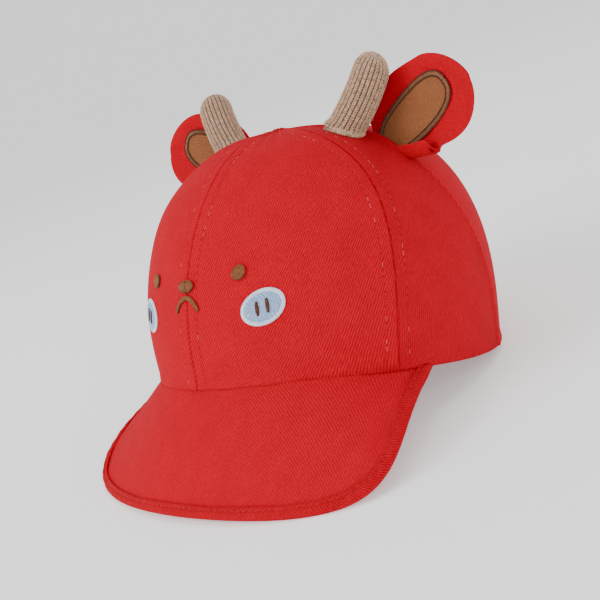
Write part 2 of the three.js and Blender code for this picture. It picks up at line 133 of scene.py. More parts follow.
def relief(turn, climb):
    """How far the cloth stands off the plain dome, in millimetres."""
    around = np.abs(turn)
    lines = [seam_turn(seam, climb) for seam in seams]
    size = per_degree(turn, climb)
    share = np.zeros_like(around)
    lift = np.zeros_like(around)
    for index, line in enumerate(lines):
        away = np.abs(around - line) * size
        if index == crease_seam:
            ridge = crease_ridge * np.exp(-((away / crease_ridge_width) ** 2))
            lift = lift + ridge - crease_dip * np.exp(-((away / crease_dip_width) ** 2))
            continue
        beyond = np.clip((away - allowance) / allowance_edge, -40, 40)
        raised = allowance_raise / (1 + np.exp(beyond))
        turned_in = -seam_dip * np.exp(-((away / seam_dip_width) ** 2))
        pressed = -stitch_press * np.exp(-(((away - allowance) / stitch_press_width) ** 2))
        lift = lift + raised + turned_in + pressed
    for start, end in zip(lines, lines[1:]):
        here = (around >= start) & (around <= end)
        share = np.where(here, (around - start) / (end - start), share)
    flat = panel_flatness * np.sin(np.pi * share) ** 2 * np.cos(np.radians(climb))
    x, y, z = np.moveaxis(dome(turn, climb), -1, 0)
    fade = np.sin(np.pi * share) ** 0.5
    folds = slow_fold * np.sin(x / 15 + 0.7) * np.sin(z / 19 + 0.4)
    folds = folds + quick_fold * np.sin((x + y) / 9 + z / 14)
    gathers = gather_height * np.sin(np.radians(turn) * gather_count) * np.sin(np.radians(climb)) ** 14
    above = z - rim_height(turn)
    hem = hem_height * np.exp(-((above / hem_width) ** 2))
    return lift - flat + (folds + gathers) * fade + hem


def cloth(turn, climb, out=0.0):
    lift = relief(turn, climb) + out
    return dome(turn, climb) + dome_normal(turn, climb) * lift[..., None]


def place_grid(piece, shape, thickness=0.0):
    """Lays a grid's vertices on a shape, with a "cloth" map in millimetres of real cloth."""
    mesh = piece.data
    flat = np.empty(len(mesh.vertices) * 3)
    mesh.vertices.foreach_get("co", flat)
    across, along = flat.reshape(-1, 3)[:, 0] + 0.5, flat.reshape(-1, 3)[:, 1] + 0.5
    points, threads, outwards = shape(across, along)
    mesh.vertices.foreach_set("co", settle(points).ravel())
    corner = np.empty(len(mesh.loops), int)
    mesh.loops.foreach_get("vertex_index", corner)
    mesh.uv_layers[0].name = "cloth"
    mesh.uv_layers[0].data.foreach_set("uv", threads[corner].ravel())
    mesh.update()
    normal = np.empty(len(mesh.polygons) * 3)
    mesh.polygons.foreach_get("normal", normal)
    if (normal.reshape(-1, 3) @ outwards).sum() < 0:
        mesh.flip_normals()
    mesh.shade_smooth()
    if thickness:
        wall = piece.modifiers.new("wall", "SOLIDIFY")
        wall.thickness = thickness / 1000
        wall.offset = -1
        bpy.context.view_layer.objects.active = piece
        bpy.ops.object.modifier_apply(modifier="wall")


def new_grid(name, columns, rows):
    bpy.ops.object.select_all(action="DESELECT")
    bpy.ops.mesh.primitive_grid_add(x_subdivisions=columns, y_subdivisions=rows, size=1)
    piece = bpy.context.object
    piece.name = name
    piece.data.name = name
    return piece


def twill(name, bright, deep, lean, pitch=1.05, groove_shade=0.55):
    """Twill weave on the cloth map: slanting rib lines of short floats, with fuzz and mottling, and
    painted shade that darkens the grooves between the rib lines.
    """
    material = bpy.data.materials.new(name)
    material.use_nodes = True
    nodes, links = material.node_tree.nodes, material.node_tree.links
    shader = nodes["Principled BSDF"]
    threads = nodes.new("ShaderNodeUVMap")
    threads.uv_map = "cloth"
    turn = nodes.new("ShaderNodeMapping")
    turn.inputs["Rotation"].default_value[2] = math.radians(90 - lean)
    links.new(threads.outputs["UV"], turn.inputs["Vector"])

    def noise(scale, detail, source=threads.outputs["UV"]):
        made = nodes.new("ShaderNodeTexNoise")
        made.inputs["Scale"].default_value = scale
        made.inputs["Detail"].default_value = detail
        links.new(source, made.inputs["Vector"])
        return made.outputs["Fac"]

    def sum_of(first, second, by=1.0, plus=0.0):
        multiply = nodes.new("ShaderNodeMath")
        multiply.operation = "MULTIPLY_ADD"
        links.new(second, multiply.inputs[0])
        multiply.inputs[1].default_value = by
        if first is None:
            multiply.inputs[2].default_value = plus
        else:
            links.new(first, multiply.inputs[2])
        return multiply.outputs[0]

    split = nodes.new("ShaderNodeSeparateXYZ")
    links.new(turn.outputs["Vector"], split.inputs["Vector"])

    def wave(source, length):
        sine = nodes.new("ShaderNodeMath")
        sine.operation = "SINE"
        links.new(sum_of(None, source, 2 * math.pi / length), sine.inputs[0])
        return sum_of(None, sine.outputs[0], 0.5, 0.5)

    wobble = noise(0.35, 2)
    rib = wave(sum_of(split.outputs["X"], wobble, 0.9), pitch)
    floats = wave(sum_of(split.outputs["Y"], rib, 0.5), pitch * 0.8)
    stretch = nodes.new("ShaderNodeMapping")
    stretch.inputs["Scale"].default_value = (2.4, 0.55, 1)
    links.new(turn.outputs["Vector"], stretch.inputs["Vector"])
    flecks = noise(1.0, 3, stretch.outputs["Vector"])
    fuzz = noise(3.2, 4)
    mottle = noise(0.09, 4)
    height = sum_of(sum_of(sum_of(None, rib, 0.62), floats, 0.2), fuzz, 0.45)
    # Colour: painted shade darkens the grooves between the slanting rib lines, and random flecks and
    # mottling vary the red.
    groove_shade_and_mottle = sum_of(sum_of(sum_of(None, rib, groove_shade, -0.32), flecks, 1.0), mottle, 0.35)
    ramp = nodes.new("ShaderNodeValToRGB")
    ramp.color_ramp.elements[0].position = 0.3
    ramp.color_ramp.elements[0].color = (*deep, 1)
    ramp.color_ramp.elements[1].position = 0.95
    ramp.color_ramp.elements[1].color = (*bright, 1)
    links.new(groove_shade_and_mottle, ramp.inputs["Fac"])
    links.new(ramp.outputs["Color"], shader.inputs["Base Color"])
    bump = nodes.new("ShaderNodeBump")
    bump.inputs["Strength"].default_value = 0.7
    bump.inputs["Distance"].default_value = 0.00022
    links.new(height, bump.inputs["Height"])
    links.new(bump.outputs["Normal"], shader.inputs["Normal"])
    shader.inputs["Roughness"].default_value = 0.82
    shader.inputs["Specular IOR Level"].default_value = 0.06
    shader.inputs["Sheen Weight"].default_value = 0.02
    shader.inputs["Sheen Roughness"].default_value = 0.45
    shader.inputs["Sheen Tint"].default_value = (1.0, 0.55, 0.55, 1)
    return material


# The darker red is the dark end of each twill: painted shade in the grooves of the weave, and its
# darker mottling.
red_bright = (0.6, 0.0005, 0.016)
red_deep = (0.36, 0.0002, 0.007)
panel_cloth = {
    "front": twill("front panel twill", red_bright, red_deep, 56),
    "side": twill("side panel twill", red_bright, red_deep, 82, 1.0, 0.35),
    "back": twill("back panel twill", red_bright, red_deep, 60),
}
columns, rows, edge_crowding = 76, 96, 2.3
seam_join = -0.05
apex_hole = 0.5
profile_steps = 400


def top_climb(turn, hole):
    return np.degrees(np.arccos((hole / crown_half_width) ** (1 / profile(turn, closing))))


def crowd(share):
    inwards = 1 - np.abs(2 * share - 1)
    eased = np.expm1(edge_crowding * inwards) / math.expm1(edge_crowding) / 2
    return np.where(share < 0.5, eased, 1 - eased)


for side, sign in (("left", 1), ("right", -1)):
    for number, place in enumerate(("front", "side", "back")):
        start, end = seams[number], seams[number + 1]
        middle = sign * (start["rim"] + end["rim"]) / 2
        climbs = np.linspace(0, top_climb(middle, apex_hole), profile_steps)
        middle_line = dome(np.full(profile_steps, middle), climbs)
        steps = np.linalg.norm(np.diff(middle_line, axis=0), axis=-1)
        lengths = np.append(0, np.cumsum(steps))

        def panel_shape(across, along):
            climb = np.interp(along * lengths[-1], lengths, climbs)
            first, last = seam_turn(start, climb), seam_turn(end, climb)
            size = per_degree(sign * (first + last) / 2, climb)
            inset = seam_join / size
            turn = sign * (first + inset + (last - first - 2 * inset) * crowd(across))
            around = (turn - sign * (first + last) / 2) * size
            return cloth(turn, climb), np.stack([around, along * lengths[-1]], -1), outwards

        level = math.radians(middle)
        outwards = np.array([math.sin(level), -math.cos(level), 0.5])
        panel = new_grid(f"crown_{place}_panel_{side}", columns, rows)
        place_grid(panel, panel_shape, panel_wall)
        panel.data.materials.append(panel_cloth[place])
        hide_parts(f"{place}_panel_{side}")
        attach(panel, "root")

# Topstitching: lockstitches of cotton thread about 2.1 mm long beside the front, side and back
# seams, that hold the allowances open. Most match the cloth and some have rubbed paler. One stitch
# is modelled and laid along every row, and the same stitch makes the embroidery and the knit.
bpy.ops.object.select_all(action="DESELECT")
bpy.ops.mesh.primitive_uv_sphere_add(segments=6, ring_count=5, radius=1)
grain = bpy.context.object
grain_points = np.array([vertex.co[:] for vertex in grain.data.vertices])
along_grain = np.clip(np.abs(grain_points[:, 2]), 0, 0.999)
fuller = (1 - along_grain**3) ** (1 / 3) / np.sqrt(1 - along_grain**2)
grain_points[:, :2] *= np.where(along_grain > 0.99, 1, fuller)[:, None]
grain_faces = [tuple(polygon.vertices) for polygon in grain.data.polygons]
bpy.data.objects.remove(grain)


def thread(name, colour, deep, rough=0.5):
    material = bpy.data.materials.new(name)
    material.use_nodes = True
    nodes, links = material.node_tree.nodes, material.node_tree.links
    shader = nodes["Principled BSDF"]
    places = nodes.new("ShaderNodeTexCoord")
    strands = nodes.new("ShaderNodeTexNoise")
    strands.inputs["Scale"].default_value = 1400
    strands.inputs["Detail"].default_value = 3
    links.new(places.outputs["Object"], strands.inputs["Vector"])
    ramp = nodes.new("ShaderNodeValToRGB")
    ramp.color_ramp.elements[0].position = 0.32
    ramp.color_ramp.elements[0].color = (*deep, 1)
    ramp.color_ramp.elements[1].position = 0.62
    ramp.color_ramp.elements[1].color = (*colour, 1)
    links.new(strands.outputs["Fac"], ramp.inputs["Fac"])
    links.new(ramp.outputs["Color"], shader.inputs["Base Color"])
    bump = nodes.new("ShaderNodeBump")
    bump.inputs["Strength"].default_value = 0.4
    bump.inputs["Distance"].default_value = 0.0001
    links.new(strands.outputs["Fac"], bump.inputs["Height"])
    links.new(bump.outputs["Normal"], shader.inputs["Normal"])
    shader.inputs["Roughness"].default_value = rough
    shader.inputs["Specular IOR Level"].default_value = 0.2
    shader.inputs["Sheen Weight"].default_value = 0.05
    return material


def sew(name, starts, ends, outs, width, thickness, material, slot):
    """One thread from each start to its end, lying on cloth that faces outs."""
    middles, ways = (starts + ends) / 2, (ends - starts) / 2
    asides = unit(np.cross(ways, outs))
    faces_out = unit(np.cross(asides, ways))
    x, y, z = grain_points[None, :, 0:1], grain_points[None, :, 1:2], grain_points[None, :, 2:3]
    points = middles[:, None] + z * ways[:, None]
    points = points + x * asides[:, None] * width / 2 + y * faces_out[:, None] * thickness / 2
    count = len(grain_points)
    faces = [tuple(corner + stitch * count for corner in face)
             for stitch in range(len(starts)) for face in grain_faces]
    mesh = bpy.data.meshes.new(name)
    mesh.from_pydata(settle(points.reshape(-1, 3)).tolist(), [], faces)
    mesh.shade_smooth()
    mesh.materials.append(material)
    piece = bpy.data.objects.new(name, mesh)
    bpy.context.collection.objects.link(piece)
    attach(piece, "root")


def stitch_ends(line, outs, pitch, length):
    """Starts, ends and facings of stitches spaced along a line of points."""
    steps = np.linalg.norm(np.diff(line, axis=0), axis=-1)
    run = np.append(0, np.cumsum(steps))
    middles = np.arange(pitch, run[-1] - pitch / 2, pitch)

    def at(where, values):
        return np.stack([np.interp(where, run, values[:, k]) for k in range(3)], -1)

    return at(middles - length / 2, line), at(middles + length / 2, line), at(middles, outs)


red_thread = thread("red topstitch thread", (0.5, 0.003, 0.008), (0.3, 0.001, 0.003))
pale_thread = thread("rubbed topstitch thread", (0.6, 0.1, 0.1), (0.5, 0.03, 0.035))
hole_red = thread("needle hole shadow red", (0.16, 0.001, 0.003), (0.08, 0.0005, 0.0015), 0.9)
stitch_pitch, stitch_length, stitch_width = 2.9, 2.1, 0.42
stitch_thickness, rubbed_thickness, rubbed_share = 0.34, 0.36, 0.22
hole_width, hole_depth, hole_ahead, hole_half = 0.5, 0.16, 0.19, 0.12
row_start, row_end = 0.6, 78
chance = np.random.default_rng(7)
rows_of_stitches = []
stitched_rows = [(0, 1), (1, -1), (1, 1), (3, -1)]
for number, way in stitched_rows:
    for sign in (1, -1):
        climb = np.linspace(row_start, row_end, 300)
        edge = seam_turn(seams[number], climb)
        turn = sign * (edge + way * allowance / per_degree(edge, climb))
        line, facing = cloth(turn, climb, 0.02), dome_normal(turn, climb)
        rows_of_stitches.append(stitch_ends(line, facing, stitch_pitch, stitch_length))
starts, ends, outs = (np.concatenate(part) for part in zip(*rows_of_stitches))
rubbed = chance.random(len(starts)) < rubbed_share
sew("topstitching", starts[~rubbed], ends[~rubbed], outs[~rubbed],
    stitch_width, stitch_thickness, red_thread, "twill")
sew("rubbed_topstitching", starts[rubbed], ends[rubbed], outs[rubbed],
    stitch_width, rubbed_thickness, pale_thread, "twill")
holes = starts - (ends - starts) * hole_ahead
reach = (ends - starts) * hole_half
sew("needle_holes", holes - reach, holes + reach, outs, hole_width, hole_depth, hole_red, "twill")

# Peak: a soft brim of doubled twill that leaves the rim at 75 degrees each side and droops
# steeply in front. It is cut with its weave more level than the crown's.
peak_turn = 74.7
peak_length = 49.5
peak_side_gain = 0.32
peak_corner = 4.7
peak_end = 1.63
peak_middle_slope = 61.4
peak_side_relief = 40.6
peak_relief = 1.95
peak_curl = 8.1
peak_fan = 0.94
peak_fan_loss = 0.67
peak_thickness = 2.0
peak_tuck = 0.9
peak_in_tape = 0.8
peak_last = 0.995
peak_weave_spread = 1.35


def peak_reach(across):
    away = np.minimum(np.abs(across), 1)
    taper = (1 - away**peak_corner) ** (1 / peak_end)
    return peak_length * (1 + peak_side_gain * away**2) * taper


def peak_point(across, reach):
    away = np.abs(across)
    turn = peak_turn * across
    heading = np.radians(turn * (peak_fan - peak_fan_loss * away**2))
    curl = peak_curl * (reach / peak_length - 0.5)
    slope = np.radians(peak_middle_slope - peak_side_relief * away**peak_relief + curl)
    level = reach * np.cos(slope)
    shift = np.stack([np.sin(heading) * level, -np.cos(heading) * level, -reach * np.sin(slope)], -1)
    return dome(turn, np.zeros_like(turn)) + shift


def peak_normal(across, reach):
    step = 0.004
    sideways = peak_point(across + step, reach) - peak_point(across - step, reach)
    outward = peak_point(across, reach + 1) - peak_point(across, np.maximum(reach - 1, 0))
    return unit(np.cross(outward, sideways))


def peak_surface(across, reach):
    waves = 0.3 * np.sin(across * 7 + reach / 13) * np.sin(reach / 17)
    waves = waves + 0.12 * np.sin(across * 31 + reach / 6)
    return peak_point(across, reach) + peak_normal(across, reach) * waves[..., None]


def peak_shape(across, along):
    share = peak_last * np.sin((2 * across - 1) * math.pi / 2)
    reach = -peak_tuck + (peak_reach(share) - peak_in_tape + peak_tuck) * along
    weave_across = share * peak_turn * peak_weave_spread * (1 + reach / 90)
    return peak_surface(share, reach), np.stack([weave_across, reach], -1), np.array([0, -0.6, 0.8])


peak_cloth = twill("peak twill", (0.62, 0.0005, 0.017), (0.4, 0.0002, 0.008), 40, 0.9, 0.4)
peak = new_grid("peak_cloth", 150, 44)
place_grid(peak, peak_shape, peak_thickness)
peak.data.materials.append(peak_cloth)
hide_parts("peak")
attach(peak, "root")

# Bound edge: a folded tape of the same twill, cut on the cross, that wraps the peak's edge and is
# caught by one row of stitches near its inner fold.
tape_width = 5.0
tape_wall = 0.9
tape_channel = 1.05
tape_tuck = 1.0
tape_steps, tape_points = 360, 25
tape_stitch_inset, tape_stitch_pitch, tape_stitch_length = 1.3, 2.7, 2.1


def edge_frame(share):
    def spread(value):
        return np.sin(np.clip(value, -1, 1) * math.pi / 2)

    def edge(value):
        return peak_point(spread(value), peak_reach(spread(value)))

    step = 0.01
    point = edge(share)
    along = unit(edge(share + step) - edge(share - step))
    normal = peak_normal(spread(share), peak_reach(spread(share)))
    normal = unit(normal - along * (normal * along).sum(-1, keepdims=True))
    return point, along, unit(np.cross(normal, along)), normal


def tape_section(share):
    """The tape's folded outline: distance inwards and height over the middle of the peak."""
    outer = tape_channel + tape_wall
    corners = [
        (tape_width, tape_channel),
        (tape_width + 0.15, tape_channel + 0.4),
        (tape_width - 0.1, outer - 0.15),
        (tape_width - 0.9, outer - 0.1),
        (tape_width - tape_stitch_inset, outer - 0.35),
        (tape_width - 1.8, outer - 0.05),
        (tape_width - 2.0, outer + 0.12),
    ]
    bend = [(outer + outer * math.cos(angle), outer * math.sin(angle))
            for angle in np.linspace(math.pi / 2, 3 * math.pi / 2, 9)]
    lower = [(x, -y) for x, y in reversed(corners)]
    channel = [(tape_wall, -tape_channel), (tape_wall, tape_channel)]
    outline = np.array(corners + bend + lower + channel + corners[:1])
    place = share * (len(outline) - 1)
    return tuple(np.interp(place, np.arange(len(outline)), outline[:, k]) for k in range(2))


tape_run = np.linspace(-1, 1, 2000)
tape_edge = edge_frame(tape_run)[0]
tape_lengths = np.append(0, np.cumsum(np.linalg.norm(np.diff(tape_edge, axis=0), axis=-1)))


def reach_rim(points, along):
    """Slides end corners of the tape along it until they lie just inside the rim."""
    for _ in range(6):
        sideways, ahead = points[:, 0] / crown_half_width, -points[:, 1] / crown_half_length
        short = rim_height(np.degrees(np.arctan2(sideways, ahead))) + tape_tuck - points[:, 2]
        points = points + along * (short / along[:, 2])[:, None]
    return points


def tape_shape(across, along):
    length = along * tape_lengths[-1]
    point, way, inward, normal = edge_frame(np.interp(length, tape_lengths, tape_run))
    x, y = tape_section(across)
    pucker = 1 + 0.05 * np.sin(length * 2 * math.pi / 5.8) + 0.04 * np.sin(length / 2.3 + 1)
    x = x + 0.12 * np.sin(length / 7.0) * (x > 4)
    points = point + inward * x[:, None] + normal * (y * pucker - peak_thickness / 2)[:, None]
    for last in (along < 1e-6, along > 1 - 1e-6):
        points[last] = reach_rim(points[last], way[last])
    return points, np.stack([length, across * 22], -1), np.array([0, -0.3, 0.2])


def close_up(piece, weld):
    """Welds a grid's seam into a tube, in metres, and fills its open ends."""
    bpy.context.view_layer.objects.active = piece
    bpy.ops.object.mode_set(mode="EDIT")
    bpy.ops.mesh.select_all(action="SELECT")
    bpy.ops.mesh.remove_doubles(threshold=weld)
    bpy.ops.mesh.select_all(action="DESELECT")
    bpy.ops.mesh.select_non_manifold()
    bpy.ops.mesh.edge_face_add()
    bpy.ops.mesh.select_all(action="SELECT")
    bpy.ops.mesh.normals_make_consistent(inside=False)
    bpy.ops.object.mode_set(mode="OBJECT")


tape = new_grid("peak_bound_edge", tape_points, tape_steps)
place_grid(tape, tape_shape)
close_up(tape, 0.00001)
tape_cloth = twill("bound edge twill", (0.56, 0.0005, 0.013), (0.31, 0.0002, 0.006), 62, 1.0, 0.5)
tape.data.materials.append(tape_cloth)
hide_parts("peak_binding")
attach(tape, "root")

share = np.interp(np.linspace(0.02, 0.98, 900) * tape_lengths[-1], tape_lengths, tape_run)
point, way, inward, normal = edge_frame(share)
for face, level in (("upper", 1), ("lower", -1)):
    height = level * (tape_channel + tape_wall - 0.28) - peak_thickness / 2
    line = point + inward * (tape_width - tape_stitch_inset) + normal * height
    sewn = stitch_ends(line, normal * level, tape_stitch_pitch, tape_stitch_length)
    sew(f"{face}_edge_stitching", *sewn, 0.5, 0.4, red_thread, "binding")

# Horns: padded tubes of taupe rib knit, closed over a round tip. Each rib is a column of knitted
# loops, and the foot is overlocked with thick thread where it is sewn to the crown. The padded tube
# under the loops is coloured dark taupe as painted shade, which shows in the gaps between the columns.
horn_radius = 7.4
horn_lip = 1.1
horn_lip_height = 3.0
horn_bow = -1.4
horn_foot = (32.3, -7.3)
horn_lean = 30.8
horn_back = 13.4
horn_length = 33.0
horn_sunk = 4.0
horn_taper = 0.05
knit_columns, knit_pitch, knit_depth = 24, 1.1, 0.25
knit_start, knit_stop = -0.6, 0.8
knit_leg_near, knit_leg_far = 0.01, 0.078
knit_near_out, knit_far_out = 0.2, -0.04
overlock_wraps, overlock_slant, overlock_height = 52, 0.35, 2.3


def cloth_over(x, y, rounds=40, longest_turn=360.0):
    """The turns and climbs of the cloth straight over places, found in rounds of small steps."""
    x, y = np.atleast_1d(x), np.atleast_1d(y)
    turn = np.degrees(np.arctan2(x / crown_half_width, -y / crown_half_length))
    climb = np.full(len(x), 60.0)
    step = 0.5
    for _ in range(rounds):
        here = dome(turn, climb)
        by_turn = (dome(turn + step, climb) - here) / step
        by_climb = (here - dome(turn, climb - step)) / step
        miss_x, miss_y = x - here[:, 0], y - here[:, 1]
        size = by_turn[:, 0] * by_climb[:, 1] - by_turn[:, 1] * by_climb[:, 0]
        more = (miss_x * by_climb[:, 1] - miss_y * by_climb[:, 0]) / size
        turn = turn + np.clip(more, -longest_turn, longest_turn)
        climb = np.clip(climb + (by_turn[:, 0] * miss_y - by_turn[:, 1] * miss_x) / size, 5, 85)
    return turn, climb


def rest_on_crown(points):
    """Lifts what would reach through the crown until it lies within the thickness of its cloth."""
    x, y, z = np.moveaxis(points, -1, 0)
    turn, climb = cloth_over(x, y, 25, 20)
    top = cloth(turn, climb, -panel_wall / 2)
    over_crown = np.hypot(top[:, 0] - x, top[:, 1] - y) < 1.0
    return np.stack([x, y, np.where(over_crown, np.maximum(z, top[:, 2]), z)], -1)


def horn_frame(sign):
    turn, climb = cloth_over(sign * horn_foot[0], horn_foot[1])
    foot = cloth(turn, climb)[0]
    lean = math.radians(horn_lean)
    axis = unit(np.array([sign * math.sin(lean), math.sin(math.radians(horn_back)), math.cos(lean)]))
    bow = unit(np.cross(axis, [0.0, 1.0, 0.0]))
    return foot, axis, bow, np.cross(axis, bow)


def horn_point(sign, angle, run, out=0.0):
    """A point of the horn at an angle round it and a run up its side and over its tip."""
    foot, axis, bow, depth = horn_frame(sign)
    tip_start = horn_length - horn_radius
    over = np.minimum(np.maximum(run - tip_start, 0) / horn_radius, math.pi / 2)
    height = np.where(over > 0, tip_start + horn_radius * np.sin(over), run)
    taper = 1 - horn_taper * (np.clip(height, 0, horn_length) / horn_length) ** 2
    lip = horn_lip * np.clip(1 - height / horn_lip_height, 0, 1)
    radius = horn_radius * np.cos(over) * taper + lip + out * np.cos(over)
    height = height + out * np.sin(over)
    sway = sign * horn_bow * np.sin(math.pi * np.clip(height, 0, horn_length) / horn_length)
    aside, back = np.cos(angle) * radius + sway, np.sin(angle) * radius
    return foot + axis * height[:, None] + bow * aside[:, None] + depth * back[:, None]


def knit(name, colour, deep):
    material = thread(name, colour, deep, 0.9)
    shader = material.node_tree.nodes["Principled BSDF"]
    material.node_tree.nodes["Noise Texture"].inputs["Scale"].default_value = 900
    shader.inputs["Sheen Weight"].default_value = 0.35
    shader.inputs["Sheen Roughness"].default_value = 0.6
    return material


knit_yarn = knit("taupe yarn", (0.56, 0.345, 0.205), (0.26, 0.15, 0.085))
# Dark taupe for the padded tube under the loops: painted shade in the gaps between the knit columns.
knit_gap_shade = knit("taupe knit painted gap shade", (0.19, 0.105, 0.062), (0.12, 0.063, 0.037))
horn_run = horn_length - horn_radius + horn_radius * math.pi / 2
for side, sign in (("left", 1), ("right", -1)):
    def horn_shape(across, along):
        run = -horn_sunk + (horn_run + horn_sunk) * along
        points = horn_point(sign, across * 2 * math.pi, run, -knit_depth)
        return points, np.stack([across * 46, run], -1), np.array([0.0, 0, 1])

    horn = new_grid(f"horn_padding_gap_shade_{side}", 48, 44)
    place_grid(horn, horn_shape)
    close_up(horn, 0.00001)
    horn.data.materials.append(knit_gap_shade)
    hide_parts(f"horn_{side}")
    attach(horn, "root")

    loops = []
    for column in range(knit_columns):
        angle = 2 * math.pi * (column + 0.5) / knit_columns
        for run in np.arange(knit_start, horn_run - knit_stop, knit_pitch):
            over = max(run - (horn_length - horn_radius), 0) / horn_radius
            narrow = math.cos(min(over, 1.5))
            if narrow < 0.35 and column % 2:
                continue
            if narrow < 0.16 and column % 4:
                continue
            for leg in (-1, 1):
                near, far = angle + leg * knit_leg_near, angle + leg * knit_leg_far
                loops.append((near, run - 0.25, far, run + knit_pitch * 0.95))
    loops = np.array(loops)
    near = horn_point(sign, loops[:, 0], loops[:, 1], knit_near_out)
    far = horn_point(sign, loops[:, 2], loops[:, 3], knit_far_out)
    outward = horn_point(sign, loops[:, 0], loops[:, 1], 1.0) - near
    sew(f"horn_knit_{side}", near, far, outward, 0.78, 0.85, knit_yarn, "knit")

    wraps = np.arange(0, 2 * math.pi, 2 * math.pi / overlock_wraps)
    foot_line = horn_point(sign, wraps, np.full_like(wraps, 0.6))
    turns, climbs = cloth_over(foot_line[:, 0], foot_line[:, 1])
    facing = dome_normal(turns, climbs)
    ground = cloth(turns, climbs)
    outward = unit(ground - ground.mean(0))
    slant = unit(np.cross(facing, outward)) * overlock_slant
    starts = ground - outward * 0.9 + facing * overlock_height - slant
    ends = ground + outward * 1.0 + facing * 0.15 + slant
    sew(f"horn_overlock_{side}", starts, ends, facing + outward, 1.25, 1.2, knit_yarn, "knit")

# Ears: leaves of doubled red twill, sewn face to face, turned out and cupped, with the lower edge
# folded forward near the foot, where they are sewn to the crown behind the horns.
ear_length = 51.5
ear_thickness = 2.4
ear_widest = 0.62
ear_forward_bend = 5.0
ear_upper = {"width": 17.5, "foot_share": 0.3, "widening": 4, "bluntness": 1.65, "foot_curl": 18.0}
ear_lower = {"width": 24.4, "foot_share": 0.72, "widening": 2, "bluntness": 2.5, "foot_curl": 15.0}
ear_tip_curl = 12.0
ear_uncurling = 0.7
ear_fold = {"flap": 7.2, "taken": 5.8, "turn": 150.0, "over": 4.0, "start": 0.48, "end": 0.57}
ear_foot = (37.4, 8.1)
ear_rise = 2.05
ear_lift = 11.9
ear_sunk = 0.05
ear_crowding = 1.6
ear_wrinkle, ear_rim = 0.3, 0.35


def smooth_step(value, low, high):
    share = np.clip((value - low) / (high - low), 0, 1)
    return share * share * (3 - 2 * share)


def ear_edge(aside, key):
    return np.where(aside > 0, ear_upper[key], ear_lower[key])


def ear_flap(along):
    return ear_fold["flap"] * (1 - smooth_step(along, ear_fold["start"], ear_fold["end"]))


def ear_reach(along, aside):
    """Width of the ear's cloth from its middle line to its upper or lower edge."""
    unfolded = 1 - ear_flap(along) / ear_fold["flap"]
    folded_away = np.where(aside > 0, 0, ear_fold["taken"] * unfolded)
    far = np.clip((along - ear_widest) / (1 - ear_widest), 0, 1)
    near = np.clip(1 - np.maximum(along, 0) / ear_widest, 0, 1)
    blunt = ear_edge(aside, "bluntness")
    end = np.maximum(1 - far**blunt, 0) ** (1 / blunt)
    foot = 1 - (1 - ear_edge(aside, "foot_share")) * near ** ear_edge(aside, "widening")
    width = ear_edge(aside, "width") - folded_away
    return np.maximum(width * np.where(along >= ear_widest, end, foot), 0.01)


def ear_point(sign, along, aside, out):
    """A point of the ear's open face, "aside" millimetres over the cloth from its middle line."""
    turn, climb = cloth_over(sign * ear_foot[0], ear_foot[1])
    foot = cloth(turn, climb)[0] + [0, 0, ear_rise]
    lift = math.radians(ear_lift)
    stem = np.array([sign * math.cos(lift), 0, math.sin(lift)])
    face = np.array([0.0, -1.0, 0.0])
    upper = np.cross(stem, face) * -sign
    reach, flap = ear_reach(along, aside), ear_flap(along)
    curl = ear_edge(aside, "foot_curl")
    curl = curl + (ear_tip_curl - curl) * np.clip(along, 0, 1) ** ear_uncurling

    def bend_at(distance):
        folded = smooth_step(distance, reach - flap, reach - flap + ear_fold["over"])
        forward_fold = np.where(aside > 0, 0, ear_fold["turn"] * folded)
        return np.radians(curl * distance / reach + forward_fold)

    steps = 24
    step = np.abs(aside) / steps
    bends = np.array([bend_at((number + 0.5) * step) for number in range(steps)])
    level, forward = np.cos(bends).sum(0) * step, np.sin(bends).sum(0) * step
    bend = bend_at(np.abs(aside))
    over = np.sign(aside) * (level - out * np.sin(bend))
    ahead = forward + out * np.cos(bend) + ear_forward_bend * along**2
    points = foot + stem * (ear_length * along)[:, None]
    return rest_on_crown(points + upper * over[:, None] + face * ahead[:, None])


ear_front = np.array([0, -1.0, 0])
ear_cloth = twill("ear twill", (0.6, 0.0005, 0.016), (0.42, 0.0002, 0.008), 75, 0.8, 0.25)
for side, sign in (("left", 1), ("right", -1)):
    def ear_shape(across, along):
        angle = across * 2 * math.pi
        share = 1 - (1 - along) ** ear_crowding
        aside = np.cos(angle)
        round_edge = np.sign(np.sin(angle)) * np.abs(np.sin(angle)) ** 0.45
        length = -ear_sunk + (0.999 + ear_sunk) * share
        thin = np.clip((1 - along) / 0.06, 0, 1) ** 0.5
        foot_wrinkle = ear_wrinkle * np.sin(aside * 9 + 1.5) * np.exp(-np.maximum(length, 0) / 0.2)
        wrinkle = (foot_wrinkle + ear_wrinkle * np.sin(length * 14 + aside * 3)) * (1 - aside**2)
        rim = ear_rim * np.exp(-(((1 - np.abs(aside)) / 0.05) ** 2))
        face_out = round_edge * (ear_thickness / 2 * thin - rim * 0.5)
        over = aside * ear_reach(length, aside)
        points = ear_point(sign, length, over, face_out - ear_thickness / 2 + wrinkle)
        return points, np.stack([over * sign, length * ear_length], -1), ear_front

    ear = new_grid(f"ear_leaf_{side}", 180, 72)
    place_grid(ear, ear_shape)
    close_up(ear, 0.00002)
    ear.data.materials.append(ear_cloth)
    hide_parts(f"ear_{side}")
    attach(ear, "root")

